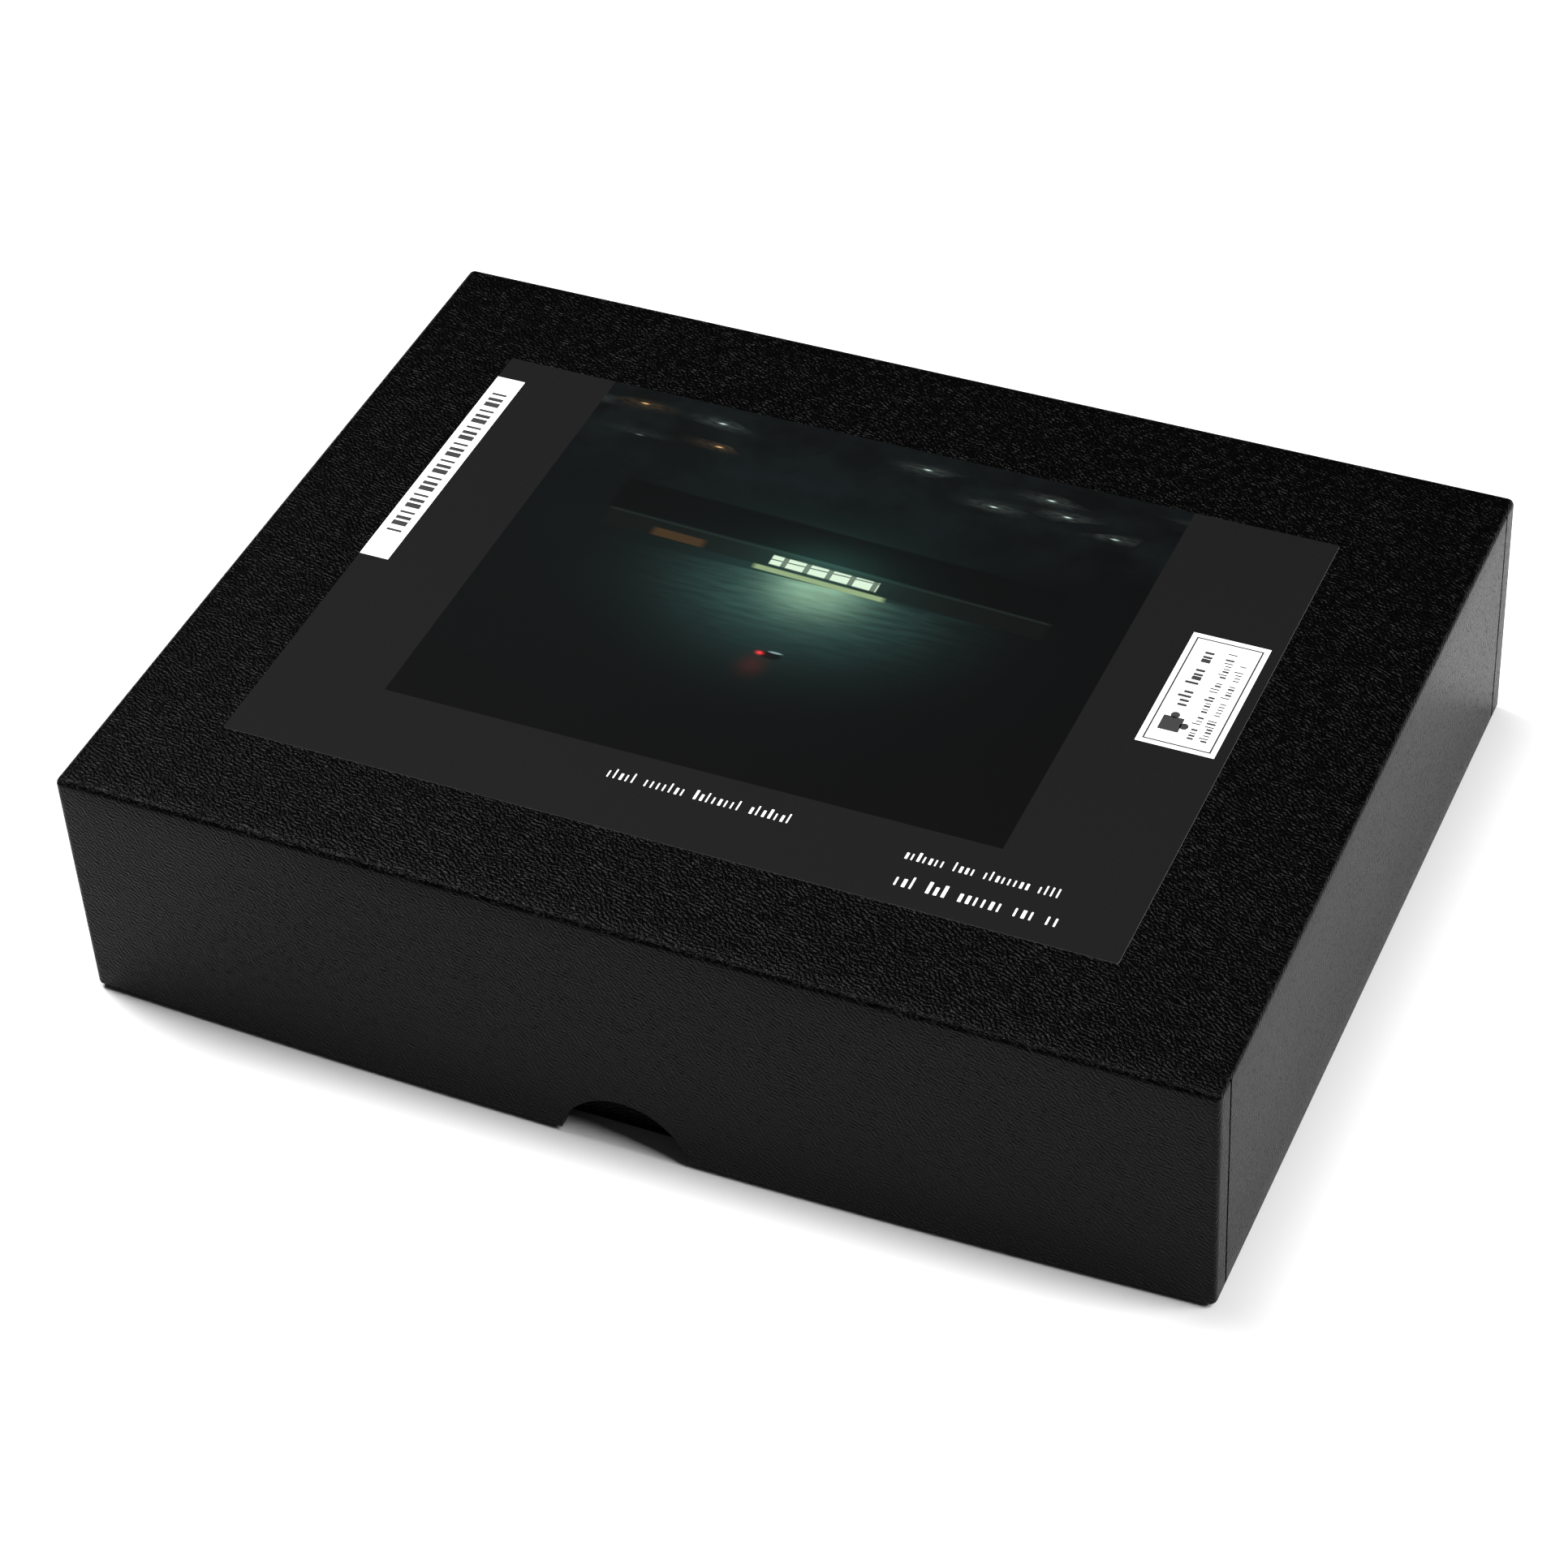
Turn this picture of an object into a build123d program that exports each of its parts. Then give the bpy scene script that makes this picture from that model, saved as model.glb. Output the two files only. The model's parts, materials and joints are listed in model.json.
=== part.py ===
from build123d import *

import math
import os
import random

import numpy as np

# A boxed jigsaw puzzle: a full-depth lid over a tray, both of greyboard wrapped in leather-grain
# paper, with the loose pieces in a clear bag. Millimetres. The origin is the middle of the box on
# the table, +X runs along the long side, the front faces -Y and +Z is up.

# Lid
LID_LENGTH = 260.0
LID_WIDTH = 197.0
LID_TOP_Z = 61.5
LID_EDGE_Z = 1.25
WALL_BOW = 2.7  # how far the long walls swell outward at their lower edge, at mid-length
LID_CORNER_RADIUS = 1.6
LID_TOP_RADIUS = 1.5
LID_TURN_IN = 15.0
NOTCH_RADIUS = 15.0
NOTCH_CENTRE_Z = -1.55
SEAM_FROM_CORNER = 4.0
SEAM_WIDTH = 0.4
SEAM_DEPTH = 0.17

# Board and papers
BOARD = 2.0
WRAP = 0.25
STAY = 0.15
STAY_LEG = 12.0
STAY_MARGIN = 5.0  # from the board's edge to the end of a stay
MIN_CORNER_RADIUS = 0.3

# Tray
TRAY_LENGTH = 252.5
TRAY_WIDTH = 189.5
TRAY_CORNER_RADIUS = 1.5
TRAY_TURN_IN = 18.0
TRAY_TURN_UNDER = 15.0
RIM_RADIUS = 0.8
BOTTOM_PAPER_MARGIN = 4.0

# Label on the lid
LABEL_LENGTH = 203.2
LABEL_WIDTH = 139.7
LABEL_THICKNESS = 0.12
LABEL_CENTRE = (-2.6, -1.1)
LABEL_CORNER_RADIUS = 0.6

# Clear bag
BAG_LENGTH = 244.0
BAG_WIDTH = 181.0
BAG_HEIGHT = 46.0
BAG_CORNER_RADIUS = 16.0
BAG_EDGE_RADIUS = 10.0
BAG_FILM = 0.3
FIN_WIDTH = 12.0
FIN_THICKNESS = 0.5

# Puzzle pieces
PUZZLE_LENGTH = 508.0
PUZZLE_WIDTH = 406.4
COLUMNS = 26
ROWS = 20
PIECE_THICKNESS = 1.9
TAB_NECK = 4.2
TAB_REACH = 5.4
SEED = 520

# Settling of the loose pieces
CELL = 1.5  # spacing of the height map
SAMPLE = 1.1  # spacing of the points tested on a piece
SPREAD = 0.8  # extra width tested round a piece
GAP = 0.12  # space kept between pieces and to the bag
TRIES = 26
SLOPES = [-0.36, -0.24, -0.12, 0.0, 0.12, 0.24, 0.36]

WALL = BOARD + WRAP
LINED_WALL = WALL + WRAP
TRAY_TOP_Z = LID_TOP_Z - WALL
TRAY_FLOOR_Z = 2 * WRAP + BOARD
PIECE_X = PUZZLE_LENGTH / COLUMNS
PIECE_Y = PUZZLE_WIDTH / ROWS


# ---------------------------------------------------------------- lid

def lid_face(inset, z):
    """Horizontal section of the lid at height z, drawn in by inset. Its long sides are parabolas."""
    half_x = LID_LENGTH / 2 - inset
    half_y = LID_WIDTH / 2 - inset
    radius = max(LID_CORNER_RADIUS - inset, MIN_CORNER_RADIUS)
    swell = 2 * WALL_BOW * (LID_TOP_Z - z) / (LID_TOP_Z - LID_EDGE_Z)
    flat_x = half_x - radius
    flat_y = half_y - radius
    front = Bezier((-flat_x, -half_y), (0, -half_y - swell), (flat_x, -half_y))
    right = Line((half_x, -flat_y), (half_x, flat_y))
    back = Bezier((flat_x, half_y), (0, half_y + swell), (-flat_x, half_y))
    left = Line((-half_x, flat_y), (-half_x, -flat_y))
    sides = [front, right, back, left]
    edges = []
    for index, side in enumerate(sides):
        following = sides[(index + 1) % len(sides)]
        angle = -90 + 90 * index
        centre_x = math.copysign(flat_x, (side @ 1).X)
        centre_y = math.copysign(flat_y, (following @ 0).Y)
        edges.append(side)
        edges.append(CenterArc((centre_x, centre_y), radius, angle, 90))
    return Pos(0, 0, z) * Face(Wire(edges))


def lid_prism(inset, low_z, high_z):
    """Solid between two sections of the lid."""
    return loft([lid_face(inset, low_z), lid_face(inset, high_z)], ruled=True)


def thumb_notch(radius):
    """Half-round bar along Y that cuts the thumb notch in both long walls."""
    bar = Cylinder(radius, 2 * LID_WIDTH, rotation=(90, 0, 0))
    return Pos(0, 0, NOTCH_CENTRE_Z) * bar


def corner_boxes(length, width, low_z, high_z):
    """Four square posts that take in the vertical corners of a box."""
    post = Box(2 * STAY_LEG, 2 * STAY_LEG, high_z - low_z, align=(Align.CENTER, Align.CENTER, Align.MIN))
    places = [Pos(x * length / 2, y * width / 2, low_z) for x in (-1, 1) for y in (-1, 1)]
    return [place * post for place in places]


def make_lid():
    """Lid board, its corner stays and its wrap."""
    board_low = LID_EDGE_Z + WRAP
    outside = lid_prism(0, LID_EDGE_Z, LID_TOP_Z)
    outside = fillet(outside.edges().group_by(Axis.Z)[-1], LID_TOP_RADIUS)
    board_block = lid_prism(WRAP, board_low, LID_TOP_Z - WRAP)
    board_block = fillet(board_block.edges().group_by(Axis.Z)[-1], LID_TOP_RADIUS - WRAP)
    board = board_block - lid_prism(WALL, LID_EDGE_Z - 1, TRAY_TOP_Z)

    stay_low = board_low + STAY_MARGIN
    stay_high = LID_TOP_Z - STAY_MARGIN
    sleeve = lid_prism(WRAP, stay_low, stay_high) - lid_prism(WRAP + STAY, stay_low - 1, stay_high + 1)
    stays = [sleeve & post for post in corner_boxes(LID_LENGTH, LID_WIDTH, stay_low, stay_high)]

    # The wrap is what is left of the outside when the board and the hollow are taken away.
    turn_in_top = LID_EDGE_Z + LID_TURN_IN
    wrap = outside - board
    wrap -= lid_prism(LINED_WALL, LID_EDGE_Z - 1, turn_in_top)
    wrap -= lid_prism(WRAP + BOARD / 2, turn_in_top, TRAY_TOP_Z + BOARD / 2)
    wrap -= thumb_notch(NOTCH_RADIUS)
    seam_x = LID_LENGTH / 2
    seam_y = LID_WIDTH / 2 - SEAM_FROM_CORNER
    seam_height = LID_TOP_Z - LID_TOP_RADIUS - LID_EDGE_Z + 2
    seam = Box(2 * SEAM_DEPTH, SEAM_WIDTH, seam_height, align=(Align.CENTER, Align.CENTER, Align.MIN))
    for x in (-1, 1):
        for y in (-1, 1):
            wrap -= Pos(x * seam_x, y * seam_y, LID_EDGE_Z - 1) * seam

    board -= thumb_notch(NOTCH_RADIUS + WRAP)
    for stay in stays:
        board -= stay
    lining = lid_prism(WRAP, board_low, NOTCH_CENTRE_Z + NOTCH_RADIUS + 2 * WRAP)
    lining -= lid_prism(WALL, LID_EDGE_Z, NOTCH_CENTRE_Z + NOTCH_RADIUS + 3 * WRAP)
    lining &= thumb_notch(NOTCH_RADIUS + WRAP)
    lining -= thumb_notch(NOTCH_RADIUS)
    wrap += lining
    return board, stays, wrap


def make_label():
    """The one printed paper label on the lid."""
    sheet = RectangleRounded(LABEL_LENGTH, LABEL_WIDTH, LABEL_CORNER_RADIUS)
    return Pos(LABEL_CENTRE[0], LABEL_CENTRE[1], LID_TOP_Z) * extrude(sheet, LABEL_THICKNESS)


# ---------------------------------------------------------------- tray

def tray_prism(inset, low_z, high_z):
    """Upright block of the tray's outline, drawn in by inset."""
    radius = max(TRAY_CORNER_RADIUS - inset, MIN_CORNER_RADIUS)
    outline = RectangleRounded(TRAY_LENGTH - 2 * inset, TRAY_WIDTH - 2 * inset, radius)
    return Pos(0, 0, low_z) * extrude(outline, high_z - low_z)


def round_rim(solid, radius):
    """Round both edges of an upright tray's rim."""
    return fillet(solid.edges().group_by(Axis.Z)[-1], radius)


def make_tray():
    """Tray board, its corner stays, its wrap and the paper under it."""
    board_low = 2 * WRAP
    board_top = TRAY_TOP_Z - WRAP
    board = tray_prism(WRAP, board_low, board_top) - tray_prism(WALL, TRAY_FLOOR_Z, TRAY_TOP_Z)
    board = round_rim(board, RIM_RADIUS - WRAP)

    stay_low = board_low + STAY_MARGIN
    stay_high = board_top - STAY_MARGIN
    sleeve = tray_prism(WRAP, stay_low, stay_high) - tray_prism(WRAP + STAY, stay_low, stay_high)
    stays = [sleeve & post for post in corner_boxes(TRAY_LENGTH, TRAY_WIDTH, stay_low, stay_high)]

    turn_in_low = TRAY_TOP_Z - TRAY_TURN_IN
    whole = tray_prism(0, WRAP, TRAY_TOP_Z) - tray_prism(LINED_WALL, turn_in_low, TRAY_TOP_Z)
    whole = round_rim(whole, RIM_RADIUS)
    wrap = whole - board
    wrap -= tray_prism(WRAP + BOARD / 2, TRAY_FLOOR_Z - BOARD / 2, turn_in_low)
    wrap -= tray_prism(TRAY_TURN_UNDER, 0, board_low)

    for stay in stays:
        board -= stay

    paper = tray_prism(BOTTOM_PAPER_MARGIN, 0, WRAP) + tray_prism(TRAY_TURN_UNDER, 0, board_low)
    return board, stays, wrap, paper


# ---------------------------------------------------------------- bag

def pillow(shrink):
    """Filled bag, drawn in by shrink on every side."""
    outline = RectangleRounded(
        BAG_LENGTH - 2 * shrink, BAG_WIDTH - 2 * shrink, BAG_CORNER_RADIUS - shrink
    )
    block = Pos(0, 0, TRAY_FLOOR_Z + shrink) * extrude(outline, BAG_HEIGHT - 2 * shrink)
    rims = block.edges().group_by(Axis.Z)
    return fillet(rims[0] + rims[-1], BAG_EDGE_RADIUS - shrink)


def make_bag():
    """Clear film bag with the fin of its long seal lying on top."""
    film = pillow(0) - pillow(BAG_FILM)
    fin_z = TRAY_FLOOR_Z + BAG_HEIGHT - BAG_FILM / 2
    fin = Box(
        BAG_LENGTH - 2 * BAG_EDGE_RADIUS, FIN_WIDTH, FIN_THICKNESS + BAG_FILM / 2,
        align=(Align.CENTER, Align.CENTER, Align.MIN),
    )
    return film + Pos(0, 0, fin_z) * fin


# ---------------------------------------------------------------- puzzle pieces

def cut_side(start, end, reach):
    """One side of a piece from start to end: straight, or with a round tab that reaches out or in."""
    if reach == 0:
        return [Line(start, end)]
    along = (end - start).normalized()
    outward = Vector(along.Y, -along.X)
    middle = (start + end) / 2
    neck_in = middle - along * (TAB_NECK / 2)
    neck_out = middle + along * (TAB_NECK / 2)
    tip = middle + outward * (reach * TAB_REACH)
    return [Line(start, neck_in), ThreePointArc(neck_in, tip, neck_out), Line(neck_out, end)]


def piece_solid(sides):
    """Flat piece, printed face up, from its four sides: front, right, back and left."""
    corners = [
        Vector(x * PIECE_X / 2, y * PIECE_Y / 2) for x, y in ((-1, -1), (1, -1), (1, 1), (-1, 1))
    ]
    edges = []
    for index, reach in enumerate(sides):
        edges += cut_side(corners[index], corners[(index + 1) % 4], reach)
    return extrude(Face(Wire(edges)), PIECE_THICKNESS)


def cut_sheet(rng):
    """Tabs of every piece of the puzzle, row by row, so that neighbours fit each other."""
    across = [[rng.choice((-1, 1)) for _ in range(COLUMNS - 1)] for _ in range(ROWS)]
    along = [[rng.choice((-1, 1)) for _ in range(COLUMNS)] for _ in range(ROWS - 1)]
    sheet = []
    for row in range(ROWS):
        for column in range(COLUMNS):
            front = along[row][column] if row < ROWS - 1 else 0
            right = across[row][column] if column < COLUMNS - 1 else 0
            back = -along[row - 1][column] if row > 0 else 0
            left = -across[row][column - 1] if column > 0 else 0
            sheet.append((front, right, back, left))
    return sheet


def sample_points(sides):
    """Grid of points over a piece and its tabs, a little wider than the piece."""
    points = []
    half_x = PIECE_X / 2 + SPREAD
    half_y = PIECE_Y / 2 + SPREAD
    tab = TAB_REACH / 2 + SPREAD + 0.5
    span = half_y + TAB_REACH
    for x in np.arange(-span, span + SAMPLE, SAMPLE):
        for y in np.arange(-span, span + SAMPLE, SAMPLE):
            inside = abs(x) <= half_x and abs(y) <= half_y
            front_or_back = sides[0] if y < 0 else sides[2]
            right_or_left = sides[1] if x > 0 else sides[3]
            on_y_tab = front_or_back > 0 and abs(x) <= tab and abs(y) <= half_y + TAB_REACH
            on_x_tab = right_or_left > 0 and abs(y) <= tab and abs(x) <= half_x + TAB_REACH
            if inside or on_y_tab or on_x_tab:
                points.append((x, y))
    return np.array(points)


def bag_profile():
    """Height of the bag's floor above its lowest point, on the height map's grid."""
    half_x = BAG_LENGTH / 2 - BAG_FILM - GAP
    half_y = BAG_WIDTH / 2 - BAG_FILM - GAP
    xs = np.arange(-half_x + CELL / 2, half_x, CELL)
    ys = np.arange(-half_y + CELL / 2, half_y, CELL)
    grid_x, grid_y = np.meshgrid(xs, ys, indexing="ij")
    corner = BAG_CORNER_RADIUS
    over_x = np.maximum(np.abs(grid_x) - (half_x - corner), 0)
    over_y = np.maximum(np.abs(grid_y) - (half_y - corner), 0)
    depth = corner - np.hypot(over_x, over_y)
    depth = np.minimum(depth, np.minimum(half_x - np.abs(grid_x), half_y - np.abs(grid_y)))
    edge = BAG_EDGE_RADIUS
    short = np.clip(edge - depth + CELL / 2, 0, edge)
    rise = edge - np.sqrt(edge**2 - short**2)
    rise[depth < CELL / 2] = BAG_HEIGHT
    return xs, ys, rise


class Pile:
    """Loose pieces that come to rest one at a time on those already there."""

    def __init__(self, rng):
        self.rng = rng
        self.xs, self.ys, rise = bag_profile()
        self.ground = TRAY_FLOOR_Z + BAG_FILM + GAP + rise
        self.ceiling = TRAY_FLOOR_Z + BAG_HEIGHT - BAG_FILM - GAP - rise
        slopes = [(a, b) for a in SLOPES for b in SLOPES]
        self.slopes = np.array(slopes)

    def cells(self, x, y):
        """Grid cells under a list of points, or None when one is outside the bag."""
        column = np.round((x - self.xs[0]) / CELL).astype(int)
        row = np.round((y - self.ys[0]) / CELL).astype(int)
        if column.min() < 0 or row.min() < 0:
            return None
        if column.max() >= len(self.xs) or row.max() >= len(self.ys):
            return None
        flat = np.unique(column * len(self.ys) + row)
        return flat // len(self.ys), flat % len(self.ys)

    def frame(self, yaw, slope):
        """Unit axes of a piece that lies on a plane of the given slope."""
        normal = np.array([-slope[0], -slope[1], 1.0])
        normal /= np.linalg.norm(normal)
        heading = np.array([math.cos(yaw), math.sin(yaw), 0.0])
        heading[2] = slope[0] * heading[0] + slope[1] * heading[1]
        heading /= np.linalg.norm(heading)
        return heading, np.cross(normal, heading), normal

    def rest(self, x, y, slope, footprint):
        """Lowest height at (x, y) of a plane that clears everything under the footprint."""
        columns, rows = footprint
        lean = slope[0] * (self.xs[columns] - x) + slope[1] * (self.ys[rows] - y)
        margin = (abs(slope[0]) + abs(slope[1])) * CELL / 2
        height = float(np.max(self.ground[columns, rows] - lean)) + margin + GAP
        rise = PIECE_THICKNESS * math.sqrt(1 + slope[0] ** 2 + slope[1] ** 2)
        top = height + lean + rise + margin
        return height, top, bool(np.all(top < self.ceiling[columns, rows]))

    def trial(self, points):
        """One random place for a piece, or None when it doesn't fit there."""
        x = self.rng.uniform(self.xs[0], self.xs[-1])
        y = self.rng.uniform(self.ys[0], self.ys[-1])
        yaw = self.rng.uniform(0, 2 * math.pi)
        heading, side, _ = self.frame(yaw, (0, 0))
        spots = np.outer(points[:, 0], heading) + np.outer(points[:, 1], side)
        flat = self.cells(x + spots[:, 0], y + spots[:, 1])
        if flat is None:
            return None
        lean = np.outer(self.slopes[:, 0], self.xs[flat[0]] - x)
        lean += np.outer(self.slopes[:, 1], self.ys[flat[1]] - y)
        heights = np.max(self.ground[flat] - lean, axis=1)
        heights += np.abs(self.slopes).sum(axis=1) * CELL / 2
        slope = tuple(self.slopes[int(np.argmin(heights))])
        heading, side, normal = self.frame(yaw, slope)
        spots = np.outer(points[:, 0], heading) + np.outer(points[:, 1], side)
        both = np.vstack([spots, spots + normal * PIECE_THICKNESS])
        footprint = self.cells(x + both[:, 0], y + both[:, 1])
        if footprint is None:
            return None
        height, top, fits = self.rest(x, y, slope, footprint)
        if not fits:
            return None
        return height, top, footprint, (x, y, height), heading, normal

    def drop(self, points):
        """Let one piece come to rest at the lowest of several places."""
        found = [self.trial(points) for _ in range(TRIES)]
        found = [place for place in found if place is not None]
        while not found:
            extra = self.trial(points)
            if extra is not None:
                found.append(extra)
        _, top, footprint, spot, heading, normal = min(found, key=lambda place: place[0])
        self.ground[footprint] = np.maximum(self.ground[footprint], top)
        return Plane(origin=spot, x_dir=tuple(heading), z_dir=tuple(normal))


def make_pieces():
    """Rows of the puzzle, each a list of solids lying where its pieces came to rest."""
    rng = random.Random(SEED)
    sheet = cut_sheet(rng)
    order = list(range(len(sheet)))
    rng.shuffle(order)
    pile = Pile(rng)
    shapes = {}
    solids = {}
    for index in order:
        sides = sheet[index]
        face_down = rng.random() < 0.5
        if face_down:
            # Turned over about its long axis, the piece shows its other face and its mirror outline.
            sides = (sides[2], sides[1], sides[0], sides[3])
        if sides not in shapes:
            shapes[sides] = (piece_solid(sides), sample_points(sides))
        solid, points = shapes[sides]
        solids[index] = pile.drop(points) * solid
    print("top of the pile", round(float(pile.ground[pile.ground < pile.ceiling].max()), 1))
    return [[solids[row * COLUMNS + column] for column in range(COLUMNS)] for row in range(ROWS)]


# ---------------------------------------------------------------- files

def solids_of(shape):
    """All solids of a shape or of a list of shapes."""
    if isinstance(shape, list):
        return [solid for item in shape for solid in item.solids()]
    return list(shape.solids())


def write(name, shape):
    """Write one node's STEP file."""
    solids = solids_of(shape)
    export_step(solids[0] if len(solids) == 1 else Compound(solids), f"parts/{name}.step")


def main():
    os.makedirs("parts", exist_ok=True)
    lid_board, lid_stays, lid_wrap = make_lid()
    write("lid_board", lid_board)
    write("lid_corner_stays", lid_stays)
    write("lid_wrap", lid_wrap)
    write("lid_label", make_label())
    tray_board, tray_stays, tray_wrap, bottom_paper = make_tray()
    write("tray_board", tray_board)
    write("tray_corner_stays", tray_stays)
    write("tray_wrap", tray_wrap)
    write("tray_bottom_paper", bottom_paper)
    write("piece_bag", make_bag())
    for number, row in enumerate(make_pieces(), start=1):
        write(f"puzzle_row_{number:02d}", row)


main()
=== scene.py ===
"""Looks of a boxed jigsaw puzzle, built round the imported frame.

A black leather-paper lid stands over its tray. Inside lie a clear bag and the loose die-cut pieces.
Lengths are millimetres times MM, so everything is in metres in the frame's own axes.
"""

import json
import logging
import math
import random
from dataclasses import dataclass, field
from enum import Enum
from typing import Callable, Iterable, Mapping, Sequence, Union

import bmesh
import bpy
from mathutils import Matrix, Vector, noise

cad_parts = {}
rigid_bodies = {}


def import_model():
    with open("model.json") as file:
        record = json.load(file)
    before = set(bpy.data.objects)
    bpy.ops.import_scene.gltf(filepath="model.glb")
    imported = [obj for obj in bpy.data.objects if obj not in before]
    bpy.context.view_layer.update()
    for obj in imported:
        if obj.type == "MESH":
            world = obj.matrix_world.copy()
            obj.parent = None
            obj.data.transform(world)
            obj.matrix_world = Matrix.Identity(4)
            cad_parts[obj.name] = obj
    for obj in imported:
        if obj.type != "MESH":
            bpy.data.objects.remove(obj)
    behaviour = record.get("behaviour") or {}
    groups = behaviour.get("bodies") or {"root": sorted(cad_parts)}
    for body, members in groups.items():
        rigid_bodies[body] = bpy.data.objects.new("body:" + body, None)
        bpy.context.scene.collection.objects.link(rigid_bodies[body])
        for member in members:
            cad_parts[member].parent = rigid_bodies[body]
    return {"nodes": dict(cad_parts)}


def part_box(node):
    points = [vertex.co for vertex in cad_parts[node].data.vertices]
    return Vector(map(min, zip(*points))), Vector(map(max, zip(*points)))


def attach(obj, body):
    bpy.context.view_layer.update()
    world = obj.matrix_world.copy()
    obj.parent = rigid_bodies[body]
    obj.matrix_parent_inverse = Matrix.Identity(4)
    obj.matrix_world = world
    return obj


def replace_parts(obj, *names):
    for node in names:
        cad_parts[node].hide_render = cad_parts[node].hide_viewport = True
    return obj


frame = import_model()

MM = 0.001
CLOSE = 0.02 * MM  # how near two coordinates are when they count as the same
LOG = logging.getLogger("puzzle_box")

Number = Union[float, "Signal"]
Colour = tuple[float, float, float]
FaceTest = Callable[[Vector, Vector], bool]


# ---- shader bench


class Signal:
    """A value on a node's output; arithmetic on it adds Math nodes to the same material."""

    def __init__(self, bench: "Bench", socket: bpy.types.NodeSocket) -> None:
        """Keep the bench that holds the node, and the output socket."""
        self.bench = bench
        self.socket = socket

    def _math(self, operation: str, *values: Number) -> "Signal":
        """Return a Math node's result for the given operation and inputs."""
        return self.bench.node("ShaderNodeMath", {"operation": operation}, dict(enumerate(values)))

    def __add__(self, other: Number) -> "Signal":
        """Return self + other."""
        return self._math("ADD", self, other)

    __radd__ = __add__

    def __sub__(self, other: Number) -> "Signal":
        """Return self - other."""
        return self._math("SUBTRACT", self, other)

    def __rsub__(self, other: Number) -> "Signal":
        """Return other - self."""
        return self._math("SUBTRACT", other, self)

    def __mul__(self, other: Number) -> "Signal":
        """Return self * other."""
        return self._math("MULTIPLY", self, other)

    __rmul__ = __mul__

    def __truediv__(self, other: Number) -> "Signal":
        """Return self / other."""
        return self._math("DIVIDE", self, other)

    def __lt__(self, other: Number) -> "Signal":
        """Return 1 where self is less than other, else 0."""
        return self._math("LESS_THAN", self, other)

    def __gt__(self, other: Number) -> "Signal":
        """Return 1 where self is greater than other, else 0."""
        return self._math("GREATER_THAN", self, other)

    def exp(self) -> "Signal":
        """Return e raised to self."""
        return self._math("EXPONENT", self)

    def sin(self) -> "Signal":
        """Return the sine of self, in radians."""
        return self._math("SINE", self)

    def clamp(self) -> "Signal":
        """Return self held between 0 and 1."""
        return self.bench.node("ShaderNodeClamp", {}, {0: self})

    def rise(self, low: float, high: float) -> "Signal":
        """Return a ramp that climbs from 0 at low to 1 at high."""
        return ((self - low) / (high - low)).clamp()

    def bell(self, centre: Number, width: float) -> "Signal":
        """Return a bell curve of height 1 about centre."""
        off = (self - centre) / width
        return (off * off * -1.0).exp()

    def band(self, low: Number, high: Number, soft: float) -> "Signal":
        """Return 1 between low and high, with edges as wide as soft."""
        return ((self - low) / soft).clamp() * ((high - self) / soft).clamp()


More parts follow.
